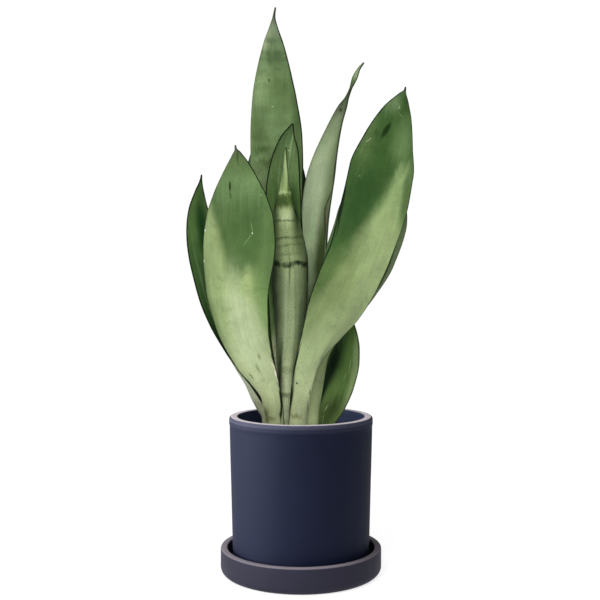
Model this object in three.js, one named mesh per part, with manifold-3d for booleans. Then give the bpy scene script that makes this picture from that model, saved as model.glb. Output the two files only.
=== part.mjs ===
// Potted moonshine snake plant: ten leaves in potting soil, in a ceramic pot on its saucer.
// Millimetres, +Z up. The origin is the middle of the saucer's flat underside.
import * as THREE from 'three';
import { mergeVertices } from 'three/addons/utils/BufferGeometryUtils.js';
import Module from 'manifold-3d';

const wasm = await Module();
wasm.setup();

// Driving dimensions
const GAP = 0.3;
const ROUND_STEPS = 48;

const SAUCER_RADIUS = 66.6;
const SAUCER_INSIDE = 60.8;
const SAUCER_HEIGHT = 21.5;
const SAUCER_FLOOR = 5;
const SAUCER_CORNER = 6;
const SAUCER_LIP = 1.4;

const POT_BASE = SAUCER_FLOOR + GAP;
const POT_TOP = 129.3;
const POT_RIM_RADIUS = 59.5;
const POT_BASE_RADIUS = 56.4;
const POT_INSIDE = 52.4;
const POT_INSIDE_LOW = 50.2;
const POT_FLOOR = POT_BASE + 8;
const POT_RIM_ROUND = 4;
const POT_INNER_ROUND = 1.2;
const POT_CORNER = 2.5;
const DRAIN_RADIUS = 7;

const SOIL_EDGE = 106.5;
const SOIL_MIDDLE = 110;
const CROWN_TOP = 92;
const CROWN_DEPTH = 17;
const CROWN_MIDDLE = [-6, 4];
const CROWN_RADIUS = 21;
const KNOB_RADIUS = 9.5;

const LEAF_STEPS = 18;
const LEAF_ACROSS = 6;
const LEAF_EDGE = 0.9;
const LEAF_WAVE = 0.9;
const WAVE_LENGTH = 74;
const HOLE_TOP = SOIL_MIDDLE + 8;
const HOLE_STEPS = 3;

// Each leaf is read from rows up its length:
// height, x, y of the keel, width across the hollow side, the way that side looks, its cup.
// The last two are degrees: 90 looks to the back, -90 to the front, and a flat blade has no cup.
const LEAVES = {
  leaf_front_left: {
    colour: 0x9fb488, thick: 5.5, rows: [
      [92, -21, -15, 15.4, 74, 55], [127, -22.5, -17, 15.4, 74, 52], [146, -25, -20, 17.4, 74, 46],
      [163, -31.8, -24, 25, 74, 38], [178, -39.4, -28, 32, 74, 32], [208, -49, -36, 45.4, 74, 28],
      [234, -52.2, -42, 53, 74, 26], [270, -50.2, -50, 59, 74, 24], [289, -49, -54, 55.4, 74, 24],
      [305, -48.5, -57, 44.5, 74, 24], [324, -48.4, -60, 24, 74, 26], [338, -48.9, -62, 7, 74, 30],
      [344, -49.9, -62, 0.9, 74, 30],
    ],
  },
  leaf_front_right: {
    colour: 0x8fa678, thick: 5.5, rows: [
      [92, -3, -17, 15, 104, 55], [127, -1.5, -18.5, 15, 104, 52], [155, 1.5, -22, 16.6, 104, 46],
      [171, 5, -25, 19.9, 104, 40], [186, 10.5, -28, 24.5, 104, 34], [201, 18.4, -31, 33.7, 104, 30],
      [217, 26.8, -35, 42.8, 104, 26], [243, 39, -39, 48.3, 104, 24], [265, 48.2, -42, 49.7, 104, 22],
      [301, 59.2, -46, 53.4, 104, 22], [326, 64.2, -48, 53, 104, 22], [349, 69.2, -49, 41, 104, 22],
      [371, 74.3, -49, 23.5, 104, 24], [381, 77.7, -49, 10, 104, 28], [391, 80.7, -49, 0.9, 104, 28],
    ],
  },
  leaf_centre_rolled: {
    colour: 0x93a583, thick: 4, rows: [
      [92, -12.5, -5, 12, 90, 60], [125, -12, -5.5, 12, 90, 60], [150, -11, -7, 14, 90, 62],
      [170, -11, -8, 16.5, 90, 64], [188, -9.8, -9, 20.5, 90, 66], [211, -8.8, -10, 25, 90, 66],
      [240, -8.8, -10, 28.4, 90, 66], [258, -9.2, -10, 29.2, 90, 66], [270, -10.4, -9, 27.5, 90, 66],
      [286, -12.2, -8, 23.6, 90, 68], [304, -13.2, -7, 16, 90, 70], [314, -13.4, -6, 10.4, 90, 70],
      [328, -13.2, -5, 5.6, 90, 60], [351, -12.8, -4, 0.9, 90, 40],
    ],
  },
  leaf_centre_open: {
    colour: 0x5f7f4c, thick: 4, rows: [
      [92, -13, 4, 15, -90, 52], [124, -13.3, 5, 15, -90, 50], [164, -12.3, 8, 18, -90, 48],
      [194, -12.6, 10, 26, -90, 44], [234, -13, 12, 29.5, -90, 42], [276, -14.2, 12, 31, -90, 40],
      [318, -14.8, 10, 28.2, -90, 40], [337, -13.4, 8, 24.5, -90, 40], [349, -12, 6, 20, -90, 42],
      [359, -10.8, 5, 13, -90, 44], [368, -8.2, 4, 4.4, -90, 40], [372, -6.7, 4, 0.9, -90, 30],
    ],
  },
  leaf_back_tall: {
    colour: 0x7f9a6c, thick: 5, rows: [
      [92, -12.5, 15, 15, -84, 50], [123, -12.6, 17, 15, -84, 46], [174, -15, 21, 22, -84, 36],
      [225, -17.7, 25, 30.7, -84, 28], [284, -19.6, 29, 39.4, -84, 22], [346, -21, 33, 44.7, -84, 18],
      [366, -21.5, 35, 44, -84, 18], [399, -23.1, 37, 37.8, -84, 18], [416, -23.7, 38, 31.9, -84, 18],
      [447, -24, 39, 16.3, -84, 22], [464, -23.8, 40, 6, -84, 26], [479, -22, 40, 0.9, -84, 26],
    ],
  },
  leaf_back_wide: {
    colour: 0x5d7d4a, thick: 5, rows: [
      [92, -15.5, 25, 16.2, -100, 46], [122, -16, 28, 18.2, -100, 40], [156, -18.6, 34, 29.4, -100, 32],
      [208, -21.7, 44, 45.8, -100, 26], [259, -23.6, 53, 56.8, -100, 22], [300, -22.9, 60, 60.6, -100, 20],
      [327, -22.7, 64, 56.6, -100, 20], [349, -23.3, 68, 47, -100, 20], [373, -24.2, 72, 32, -100, 22],
      [392, -25.4, 74, 13.5, -100, 24], [405, -26.2, 75, 0.9, -100, 24],
    ],
  },
  leaf_curled_tip: {
    colour: 0xa9b894, thick: 4, rows: [
      [92, -2, 6, 11, -112, 58], [124, -1, 7, 11.5, -114, 58], [175, 5.5, 11, 17.5, -118, 60],
      [234, 12, 15, 25, -122, 62], [284, 15.6, 20, 28, -124, 64], [310, 18.4, 23, 28.6, -124, 64],
      [327, 20.9, 26, 27.2, -124, 64], [342, 23.6, 29, 23.7, -124, 64], [361, 28, 33, 18.7, -124, 66],
      [379, 32.9, 36, 12.7, -124, 68], [392, 37.5, 38, 8, -124, 70], [401, 40.7, 39, 3, -124, 60],
      [408, 43.3, 40, 2, -124, 40], [418, 47.5, 42, 4.5, -124, 50], [426, 50.7, 43, 2.6, -124, 40],
      [432, 55, 44, 0.9, -124, 30],
    ],
  },
  leaf_far_left: {
    colour: 0x587848, thick: 4.5, rows: [
      [92, -29, 1, 15, 8, 70], [127, -30.5, 0, 15.5, 6, 76], [136, -35.5, 0, 15.5, 4, 76],
      [145, -40, -1, 16, 0, 74], [157, -44.5, -2, 17.5, -12, 66], [172, -50, -4, 20, -28, 54],
      [189, -56.8, -6, 25, -42, 46], [209, -64.6, -8, 30, -50, 40], [230, -71, -9, 33, -56, 36],
      [252, -76.6, -10, 33, -60, 34], [274, -81.5, -11, 28.5, -62, 32], [298, -84.4, -11, 16.8, -64, 32],
      [313, -83.3, -10, 8.3, -64, 32], [328, -81.3, -9, 0.9, -64, 30],
    ],
  },
  leaf_behind_right: {
    colour: 0x9fb28c, thick: 4.5, rows: [
      [92, 8, -6, 14, 108, 52], [127, 8.5, -8, 14.5, 108, 50], [156, 11.5, -10, 16, 108, 46],
      [178, 15, -12, 17, 108, 40], [197, 21.2, -14, 26, 108, 34], [214, 29, -17, 37.5, 108, 30],
      [238, 39.6, -20, 50, 108, 26], [264, 50.8, -21, 59, 108, 24], [288, 59.2, -20, 60, 108, 24],
      [314, 64.3, -17, 50.3, 108, 24], [342, 70.4, -13, 30.8, 108, 26], [360, 74.9, -11, 11.3, 108, 28],
      [368, 76.9, -10, 0.9, 108, 28],
    ],
  },
  leaf_short_right: {
    colour: 0x5f7f4a, thick: 4.5, rows: [
      [92, 17, 4, 14.7, -112, 52], [112, 18, 4, 15.7, -112, 50], [124, 20.9, 6, 19.5, -112, 46],
      [137, 26.1, 9, 26.8, -112, 40], [154, 31.2, 13, 32.6, -112, 34], [169, 33.6, 17, 35.4, -112, 30],
      [182, 34.8, 21, 33.8, -112, 28], [195, 36.1, 25, 27.6, -112, 28], [208, 37.7, 28, 15.9, -112, 30],
      [219, 39.9, 31, 0.9, -112, 30],
    ],
  },
};

// Fleshy roots: where each leaves the rootstock, which way it runs, how far out and how deep.
const ROOTS = [
  { from: [-26, -12], heading: 205, reach: 16, depth: 52 },
  { from: [-6, -16], heading: 265, reach: 20, depth: 44 },
  { from: [18, -4], heading: 330, reach: 20, depth: 50 },
  { from: [14, 8], heading: 35, reach: 24, depth: 40 },
  { from: [-8, 20], heading: 80, reach: 18, depth: 46 },
  { from: [-30, 4], heading: 160, reach: 12, depth: 42 },
];
const ROOT_RADIUS = 2.4;
const ROOT_SIDES = 6;
const ROOT_STEPS = 6;

const rad = THREE.MathUtils.degToRad;

function geometryOf(points, triangles) {
  const geometry = new THREE.BufferGeometry();
  geometry.setAttribute('position', new THREE.Float32BufferAttribute(points.flat(), 3));
  geometry.setIndex(triangles.flat());
  return geometry;
}

function solidOf(geometry) {
  const bare = geometry.clone();
  bare.deleteAttribute('normal');
  bare.deleteAttribute('uv');
  const merged = mergeVertices(bare, 1e-4);
  return new wasm.Manifold(new wasm.Mesh({
    numProp: 3,
    vertProperties: new Float32Array(merged.attributes.position.array),
    triVerts: new Uint32Array(merged.index.array),
  }));
}

function geometryFrom(solid) {
  const mesh = solid.getMesh();
  const geometry = new THREE.BufferGeometry();
  geometry.setAttribute('position', new THREE.BufferAttribute(new Float32Array(mesh.vertProperties), 3));
  geometry.setIndex(new THREE.BufferAttribute(new Uint32Array(mesh.triVerts), 1));
  return geometry;
}

// A round piece turned about the Z axis from a profile of (radius, height) points.
function turned(profile, segments = ROUND_STEPS) {
  const points = profile.map(([r, z]) => new THREE.Vector2(r, z));
  return new THREE.LatheGeometry(points, segments).rotateX(Math.PI / 2);
}

// Points of a rounded corner about (r, z), from one angle to another.
function corner(r, z, radius, from, to, steps) {
  return Array.from({ length: steps + 1 }, (_, i) => {
    const angle = rad(from + ((to - from) * i) / steps);
    return [r + radius * Math.cos(angle), z + radius * Math.sin(angle)];
  });
}

function saucerGeometry() {
  const corner_r = SAUCER_RADIUS - SAUCER_CORNER;
  return turned([
    [0, 0],
    ...corner(corner_r, SAUCER_CORNER, SAUCER_CORNER, -90, 0, 4),
    ...corner(SAUCER_RADIUS - SAUCER_LIP, SAUCER_HEIGHT - SAUCER_LIP, SAUCER_LIP, 0, 90, 2),
    ...corner(SAUCER_INSIDE + SAUCER_LIP, SAUCER_HEIGHT - SAUCER_LIP, SAUCER_LIP, 90, 180, 2),
    [SAUCER_INSIDE, SAUCER_FLOOR + 3],
    [SAUCER_INSIDE - 3, SAUCER_FLOOR],
    [0, SAUCER_FLOOR],
  ]);
}

function potGeometry() {
  const outer = POT_RIM_RADIUS;
  const profile = [
    [DRAIN_RADIUS, POT_BASE],
    ...corner(POT_BASE_RADIUS - POT_CORNER, POT_BASE + POT_CORNER, POT_CORNER, -90, 0, 2),
    [POT_BASE_RADIUS + 0.6, 34],
    [POT_BASE_RADIUS + 1.6, 75],
    [outer - 0.6, 100],
    ...corner(outer - POT_RIM_ROUND, POT_TOP - POT_RIM_ROUND, POT_RIM_ROUND, 0, 90, 4),
    ...corner(POT_INSIDE + POT_INNER_ROUND, POT_TOP - POT_INNER_ROUND, POT_INNER_ROUND, 90, 180, 2),
    [POT_INSIDE_LOW, POT_FLOOR + 3],
    [POT_INSIDE_LOW - 3, POT_FLOOR],
    [DRAIN_RADIUS, POT_FLOOR],
    [DRAIN_RADIUS, POT_BASE],
  ];
  return turned(profile);
}

// Reads one column of a leaf's rows at a height, by a smooth curve that never overshoots them.
function readRow(rows, column, z) {
  const last = rows.length - 1;
  const top = Math.min(Math.max(z, rows[0][0]), rows[last][0]);
  let i = 0;
  while (i < last - 1 && top > rows[i + 1][0]) i += 1;
  const slope = (k) => (rows[k + 1][column] - rows[k][column]) / (rows[k + 1][0] - rows[k][0]);
  const bend = (k) => {
    if (k === 0) return slope(0);
    if (k === last) return slope(last - 1);
    const [before, after] = [slope(k - 1), slope(k)];
    return before * after <= 0 ? 0 : (2 * before * after) / (before + after);
  };
  const span = rows[i + 1][0] - rows[i][0];
  const t = (top - rows[i][0]) / span;
  const [a, b] = [rows[i][column], rows[i + 1][column]];
  return a * (1 + 2 * t) * (1 - t) ** 2 + b * t * t * (3 - 2 * t)
    + span * (bend(i) * t * (1 - t) ** 2 + bend(i + 1) * t * t * (t - 1));
}

// One leaf: a thick keel thinning to its margins, bent across into a channel all the way up.
function leafGeometry({ rows, thick }, grow = 0, cutTop = Infinity, steps = LEAF_STEPS) {
  const foot = rows[0][0] + (grow ? 0 : GAP);
  const tip = rows[rows.length - 1][0];
  const top = Math.min(tip, cutTop);
  const keel = (z) => new THREE.Vector3(readRow(rows, 1, z), readRow(rows, 2, z), z);
  const points = [];
  const half = LEAF_ACROSS / 2;
  for (let i = 0; i <= steps; i += 1) {
    const z = foot + (top - foot) * (1 - (1 - i / steps) ** 1.2);
    const along = (z - rows[0][0]) / (tip - rows[0][0]);
    const centre = keel(z);
    const rise = keel(Math.min(z + 1, tip)).sub(keel(Math.max(z - 1, rows[0][0]))).normalize();
    const face = rad(readRow(rows, 4, z));
    const inward = new THREE.Vector3(Math.cos(face), Math.sin(face), 0);
    inward.addScaledVector(rise, -inward.dot(rise)).normalize();
    const side = new THREE.Vector3().crossVectors(rise, inward);
    const cup = rad(readRow(rows, 5, z));
    const width = readRow(rows, 3, z);
    const bend = width / 2 / Math.sin(cup);
    const deep = Math.min(LEAF_EDGE + (thick - LEAF_EDGE) * (1 - along) ** 0.8, LEAF_EDGE + width / 4);
    const wave = LEAF_WAVE * Math.min(1, along * 4) * Math.min(1, width / 20);
    const ring = [];
    for (const skin of [1, -1]) {
      for (let j = -half; j <= half; j += 1) {
        const across = (j * skin) / half;
        const turn = cup * across;
        const normal = inward.clone().multiplyScalar(Math.cos(turn)).addScaledVector(side, -Math.sin(turn));
        const body = LEAF_EDGE + (deep - LEAF_EDGE) * (1 - across * across) + 2 * grow;
        const ripple = wave * Math.abs(across) ** 3 * Math.sin((2 * Math.PI * z) / WAVE_LENGTH + across * 2);
        const point = centre.clone()
          .addScaledVector(side, bend * Math.sin(turn) + grow * Math.sign(across))
          .addScaledVector(inward, bend * (1 - Math.cos(turn)) + ripple)
          .addScaledVector(normal, (skin * body) / 2);
        if (i === 0) point.addScaledVector(rise, (foot - point.z) / rise.z);
        ring.push(point.toArray());
      }
    }
    points.push(...ring);
  }
  return geometryOf(points, skinOf(steps + 1, LEAF_ACROSS));
}

// Triangles over a stack of flat rings, split alike on both faces, and closed at both ends.
function skinOf(rings, across) {
  const count = 2 * (across + 1);
  const triangles = [];
  for (let i = 0; i < rings - 1; i += 1) {
    for (let k = 0; k < count; k += 1) {
      const next = (k + 1) % count;
      const [a, b, c, d] = [i * count + k, i * count + next, (i + 1) * count + next, (i + 1) * count + k];
      if (k < across) triangles.push([a, b, c], [a, c, d]);
      else triangles.push([a, b, d], [b, c, d]);
    }
  }
  const lid = (rings - 1) * count;
  for (let j = 0; j < across; j += 1) {
    const [a, b, c, d] = [j, count - 1 - j, count - 2 - j, j + 1];
    triangles.push([a, b, c], [a, c, d], [lid + a, lid + d, lid + c], [lid + a, lid + c, lid + b]);
  }
  return triangles;
}

// A root: a six-sided tapering tube that arches out and down.
function rootGeometry({ from, heading, reach, depth }, grow) {
  const points = [];
  const triangles = [];
  for (let i = 0; i <= ROOT_STEPS; i += 1) {
    const t = i / ROOT_STEPS;
    const out = reach * Math.sin((t * Math.PI) / 2);
    const radius = ROOT_RADIUS * (1 - 0.6 * t) + grow;
    const middle = [
      from[0] + out * Math.cos(rad(heading)),
      from[1] + out * Math.sin(rad(heading)),
      CROWN_TOP - CROWN_DEPTH * 0.6 - depth * t * t - (i === ROOT_STEPS ? grow : 0),
    ];
    for (let k = 0; k < ROOT_SIDES; k += 1) {
      const angle = (2 * Math.PI * k) / ROOT_SIDES;
      const tilt = 1 - t;
      points.push([
        middle[0] + radius * Math.cos(angle) * (1 - 0.4 * tilt),
        middle[1] + radius * Math.sin(angle) * (1 - 0.4 * tilt),
        middle[2] + radius * tilt * Math.cos(angle - rad(heading)),
      ]);
    }
  }
  for (let i = 0; i < ROOT_STEPS; i += 1) {
    for (let k = 0; k < ROOT_SIDES; k += 1) {
      const next = (k + 1) % ROOT_SIDES;
      const [a, b] = [i * ROOT_SIDES + k, i * ROOT_SIDES + next];
      const [c, d] = [b + ROOT_SIDES, a + ROOT_SIDES];
      triangles.push([a, c, b], [a, d, c]);
    }
  }
  const end = ROOT_STEPS * ROOT_SIDES;
  for (let k = 1; k < ROOT_SIDES - 1; k += 1) {
    triangles.push([0, k, k + 1], [end, end + k + 1, end + k]);
  }
  return geometryOf(points, triangles);
}

// The rootstock: a knob under each leaf, grown together, cut level where the leaves stand.
function rootstock(grow) {
  const knob = (x, y, wide) => solidOf(new THREE.SphereGeometry(1, 10, 6).rotateX(Math.PI / 2)
    .scale(wide + grow, wide + grow, CROWN_DEPTH / 2 + grow)
    .translate(x, y, CROWN_TOP - CROWN_DEPTH / 2 + 3));
  let stock = knob(...CROWN_MIDDLE, CROWN_RADIUS);
  for (const { rows } of Object.values(LEAVES)) stock = stock.add(knob(rows[0][1], rows[0][2], KNOB_RADIUS));
  for (const root of ROOTS) stock = stock.add(solidOf(rootGeometry(root, grow)));
  return stock.trimByPlane([0, 0, -1], -(CROWN_TOP + grow));
}

function soilSolid() {
  const wall = (z) => THREE.MathUtils.mapLinear(
    z, POT_FLOOR + 3, POT_TOP - POT_INNER_ROUND, POT_INSIDE_LOW, POT_INSIDE) - GAP;
  const low = POT_FLOOR + GAP;
  const edge = wall(SOIL_EDGE);
  let soil = solidOf(turned([
    [0, low],
    [POT_INSIDE_LOW - 3 - GAP, low],
    [wall(POT_FLOOR + 3 + GAP), POT_FLOOR + 3 + GAP],
    [edge, SOIL_EDGE],
    [edge * 0.8, SOIL_EDGE + 0.8],
    [edge * 0.4, SOIL_MIDDLE - 0.5],
    [0, SOIL_MIDDLE],
  ], 40));
  soil = soil.subtract(rootstock(GAP));
  for (const leaf of Object.values(LEAVES)) {
    soil = soil.subtract(solidOf(leafGeometry(leaf, GAP, HOLE_TOP, HOLE_STEPS)));
  }
  return soil;
}

function piece(name, geometry, colour, roughness) {
  const material = new THREE.MeshStandardMaterial({ color: colour, roughness, metalness: 0 });
  const mesh = new THREE.Mesh(geometry, material);
  mesh.name = name;
  return mesh;
}

const plant = new THREE.Group();
plant.add(piece('saucer', saucerGeometry(), 0x3f4150, 0.55));
plant.add(piece('pot', potGeometry(), 0x2f3545, 0.5));
plant.add(piece('soil', geometryFrom(soilSolid()), 0x3a2a1e, 0.95));
plant.add(piece('rootstock', geometryFrom(rootstock(0)), 0xb08a5c, 0.8));
for (const [name, leaf] of Object.entries(LEAVES)) {
  plant.add(piece(name, leafGeometry(leaf), leaf.colour, 0.45));
}

export default plant;
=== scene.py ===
import math
import random

import bmesh
import bpy
from mathutils import Matrix, Vector, noise


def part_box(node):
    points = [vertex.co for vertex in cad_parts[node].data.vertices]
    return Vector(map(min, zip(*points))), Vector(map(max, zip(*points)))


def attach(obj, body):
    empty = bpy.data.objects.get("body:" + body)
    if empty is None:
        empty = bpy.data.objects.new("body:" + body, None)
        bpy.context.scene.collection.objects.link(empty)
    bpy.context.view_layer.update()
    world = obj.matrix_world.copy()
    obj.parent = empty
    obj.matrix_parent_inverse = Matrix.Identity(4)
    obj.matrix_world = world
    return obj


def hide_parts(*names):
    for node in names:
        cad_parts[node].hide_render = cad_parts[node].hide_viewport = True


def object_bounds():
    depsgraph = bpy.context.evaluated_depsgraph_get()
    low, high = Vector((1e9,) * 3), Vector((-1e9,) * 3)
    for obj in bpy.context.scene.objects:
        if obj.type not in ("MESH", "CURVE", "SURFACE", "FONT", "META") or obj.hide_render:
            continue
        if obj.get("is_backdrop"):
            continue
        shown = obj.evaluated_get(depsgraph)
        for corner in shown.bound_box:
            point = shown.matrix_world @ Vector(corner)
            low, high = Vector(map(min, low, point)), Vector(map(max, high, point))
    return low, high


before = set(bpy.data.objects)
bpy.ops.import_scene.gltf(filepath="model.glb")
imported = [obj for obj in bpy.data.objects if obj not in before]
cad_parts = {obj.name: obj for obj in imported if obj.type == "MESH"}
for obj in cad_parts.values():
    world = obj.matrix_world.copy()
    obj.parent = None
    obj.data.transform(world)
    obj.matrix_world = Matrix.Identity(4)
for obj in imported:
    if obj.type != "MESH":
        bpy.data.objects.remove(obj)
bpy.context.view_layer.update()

# The saucer is a shallow dish of fired clay, thrown on a wheel. Its wall stands up from a well
# rounded foot to a thick lip with soft edges, and its skin is matt and a little warmer than the pot.
MM = 0.001
ROUND_STEPS = 160
SAUCER_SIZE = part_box("saucer")[1]
SAUCER_RADIUS = SAUCER_SIZE.x / MM
SAUCER_HEIGHT = SAUCER_SIZE.z / MM
SAUCER_WALL = 5.8
SAUCER_FLOOR = 5.0
SAUCER_CORNER = 6.0
SAUCER_HOLLOW = 3.0
SAUCER_LIP = 1.4
SAUCER_COLOUR = (32, 32, 44)
SAUCER_CLOUD = (40, 39, 51)
SAUCER_LIP_HIGHLIGHT = (126, 119, 125)
EVENLY = (1, 1, 1)


def paint(red, green, blue):
    """A colour of screen values from 0 to 255, as the shaders want it."""
    parts = [part / 255 for part in (red, green, blue)]
    return [part / 12.92 if part < 0.04045 else ((part + 0.055) / 1.055) ** 2.4 for part in parts] + [1.0]


def feed(tree, socket, value):
    """Gives a socket another node's output or a plain value."""
    if isinstance(value, bpy.types.NodeSocket):
        tree.links.new(value, socket)
    else:
        socket.default_value = value


def add(tree, kind, inputs=None, **settings):
    """A new shader node with its settings made and its inputs fed."""
    made = tree.nodes.new("ShaderNode" + kind)
    for key, value in settings.items():
        setattr(made, key, value)
    for key, value in (inputs or {}).items():
        feed(tree, made.inputs[key], value)
    return made


def maths(tree, operation, first, second=0.0):
    """The result of one sum on two values."""
    return add(tree, "Math", {0: first, 1: second}, operation=operation).outputs[0]


def vectors(tree, operation, first, second=(0, 0, 0)):
    """The result of one sum on two vectors, or the length of the first."""
    made = add(tree, "VectorMath", {0: first, 1: second}, operation=operation)
    return made.outputs["Value" if operation == "LENGTH" else "Vector"]


def blend(tree, share, low, high, mode="MIX"):
    """One colour laid over another by a share from 0 to 1."""
    made = add(tree, "Mix", {0: share, 6: low, 7: high}, data_type="RGBA", blend_type=mode)
    return made.outputs[2]


def fade(tree, value, start, end, low=0.0, high=1.0):
    """A soft step from low at start to high at end."""
    inputs = {"Value": value, "From Min": start, "From Max": end, "To Min": low, "To Max": high}
    return add(tree, "MapRange", inputs, interpolation_type="SMOOTHSTEP").outputs[0]


def cloud(tree, place, stretch, scale, detail=3.0, rough=0.55):
    """Smooth noise from 0 to 1 over a place stretched along its axes."""
    drawn = vectors(tree, "MULTIPLY", place, stretch)
    inputs = {"Vector": drawn, "Scale": scale, "Detail": detail, "Roughness": rough}
    return add(tree, "TexNoise", inputs).outputs["Fac"]


def new_group(name, inputs, outputs):
    """An empty shader node group and its inner ends."""
    group = bpy.data.node_groups.new(name, "ShaderNodeTree")
    for title, kind in inputs.items():
        group.interface.new_socket(title, in_out="INPUT", socket_type="NodeSocket" + kind)
    for title, kind in outputs.items():
        group.interface.new_socket(title, in_out="OUTPUT", socket_type="NodeSocket" + kind)
    return group, group.nodes.new("NodeGroupInput").outputs, group.nodes.new("NodeGroupOutput").inputs


def use_group(tree, group, inputs):
    """A node group set into a tree, with its inputs fed."""
    made = tree.nodes.new("ShaderNodeGroup")
    made.node_tree = group
    for key, value in inputs.items():
        feed(tree, made.inputs[key], value)
    return made.outputs


def new_material(name):
    """A material with its tree, its surface shader and the place of each point on the piece."""
    material = bpy.data.materials.new(name)
    material.use_nodes = True
    tree = material.node_tree
    place = add(tree, "TexCoord").outputs["Object"]
    return material, tree, tree.nodes["Principled BSDF"].inputs, place


def emboss(tree, surface, height, strength, deep):
    """Low relief on a skin, from the height of its pattern, with its depth in millimetres."""
    bump = add(tree, "Bump", {"Height": height, "Strength": strength, "Distance": deep * MM})
    feed(tree, surface["Normal"], bump.outputs[0])


def arc(r, z, radius, start, end, steps):
    """Points of a rounded corner about (r, z), from one angle in degrees to another."""
    angles = [math.radians(start + (end - start) * i / steps) for i in range(steps + 1)]
    return [(r + radius * math.cos(angle), z + radius * math.sin(angle)) for angle in angles]


def turn_on_wheel(profile):
    """A round body spun from a closed outline of (radius, height) points in millimetres."""
    bm = bmesh.new()
    points = [bm.verts.new((r * MM, 0, z * MM)) for r, z in profile]
    lines = [bm.edges.new(pair) for pair in zip(points, points[1:])]
    bmesh.ops.spin(
        bm, geom=points + lines, cent=(0, 0, 0), axis=(0, 0, 1), dvec=(0, 0, 0),
        angle=math.tau, steps=ROUND_STEPS, use_merge=True,
    )
    bmesh.ops.remove_doubles(bm, verts=bm.verts[:], dist=0.01 * MM)
    bmesh.ops.recalc_face_normals(bm, faces=bm.faces[:])
    return bm


def finish(bm, name, material):
    """Turns a mesh in the making into a smooth piece with its material."""
    for face in bm.faces:
        face.smooth = True
    mesh = bpy.data.meshes.new(name)
    bm.to_mesh(mesh)
    bm.free()
    mesh.materials.append(material)
    piece = bpy.data.objects.new(name, mesh)
    bpy.context.scene.collection.objects.link(piece)
    return piece


fired_clay, ends, results = new_group(
    "fired clay", {"Place": "Vector"}, {"Cloud": "Float", "Specks": "Float", "Grain": "Float"})
feed(fired_clay, results["Cloud"], cloud(fired_clay, ends["Place"], (1, 1, 0.6), 38, 4))
pits = add(fired_clay, "TexVoronoi", {"Vector": ends["Place"], "Scale": 900.0})
pick = add(fired_clay, "SeparateColor", {0: pits.outputs["Color"]}).outputs[0]
chosen = fade(fired_clay, pick, 0.86, 0.9)
near = fade(fired_clay, pits.outputs["Distance"], 0.34, 0.16)
feed(fired_clay, results["Specks"], maths(fired_clay, "MULTIPLY", chosen, near))
feed(fired_clay, results["Grain"], cloud(fired_clay, ends["Place"], EVENLY, 1500, 4, 0.7))

clay, tree, surface, place = new_material("saucer matt clay")
skin = use_group(tree, fired_clay, {"Place": place})
colour = blend(tree, skin["Cloud"], paint(*SAUCER_COLOUR), paint(*SAUCER_CLOUD))
colour = blend(tree, maths(tree, "MULTIPLY", skin["Specks"], 0.5), colour, paint(34, 32, 40))
height = add(tree, "SeparateXYZ", {0: place}).outputs[2]
# The top of the lip is painted paler towards its crest: a painted highlight along its rounded edge.
lip_highlight = fade(tree, height, (SAUCER_HEIGHT - 1.2) * MM, (SAUCER_HEIGHT - 0.1) * MM, 0, 0.55)
colour = blend(tree, lip_highlight, colour, paint(*SAUCER_LIP_HIGHLIGHT))
feed(tree, surface["Base Color"], colour)
feed(tree, surface["Roughness"], fade(tree, skin["Cloud"], 0.3, 0.7, 0.5, 0.62))
surface["Specular IOR Level"].default_value = 0.08
relief = maths(tree, "SUBTRACT", skin["Grain"], maths(tree, "MULTIPLY", skin["Specks"], 0.8))
emboss(tree, surface, relief, 0.35, 0.12)

inner_wall = SAUCER_RADIUS - SAUCER_WALL
lip_middle = SAUCER_HEIGHT - SAUCER_LIP
saucer = finish(turn_on_wheel([
    (0, 0),
    *arc(SAUCER_RADIUS - SAUCER_CORNER, SAUCER_CORNER, SAUCER_CORNER, -90, 0, 14),
    (SAUCER_RADIUS, 12),
    *arc(SAUCER_RADIUS - SAUCER_LIP, lip_middle, SAUCER_LIP, 0, 90, 8),
    *arc(inner_wall + SAUCER_LIP, lip_middle, SAUCER_LIP, 90, 180, 8),
    (inner_wall, 14),
    *arc(inner_wall - SAUCER_HOLLOW, SAUCER_FLOOR + SAUCER_HOLLOW, SAUCER_HOLLOW, 0, -90, 8),
    (30, SAUCER_FLOOR),
    (0, SAUCER_FLOOR),
]), "clay_saucer", clay)
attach(saucer, "root")
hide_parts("saucer")

# The pot is thrown in the same clay under a thin satin glaze of deep blue, a little wider at the
# rim than at the foot. The rim is a round bead that stands a hair proud of the wall. The glaze is
# painted lighter over the bead in two steps and palest along its top, a painted highlight on the rim.
POT_LOW, POT_HIGH = (corner.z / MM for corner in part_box("pot"))
POT_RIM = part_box("pot")[1].x / MM
POT_FOOT = 56.4
POT_INSIDE = 52.4
POT_INSIDE_LOW = 50.2
POT_FLOOR = POT_LOW + 8
POT_CORNER = 2.5
POT_HOLLOW = 3.0
RIM_ROUND = 2.2
RIM_INNER = 1.2
RIM_STEP = 0.45
DRAIN_RADIUS = 7.0
GLAZE_DEEP = (10, 15, 34)
GLAZE_CLOUD = (14, 19, 38)
GLAZE_BEAD_HIGHLIGHT = (65, 66, 82)
GLAZE_TOP_HIGHLIGHT = (148, 141, 145)
GLAZE_INSIDE_PAINTED_LIGHT = (40, 47, 70)

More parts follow.
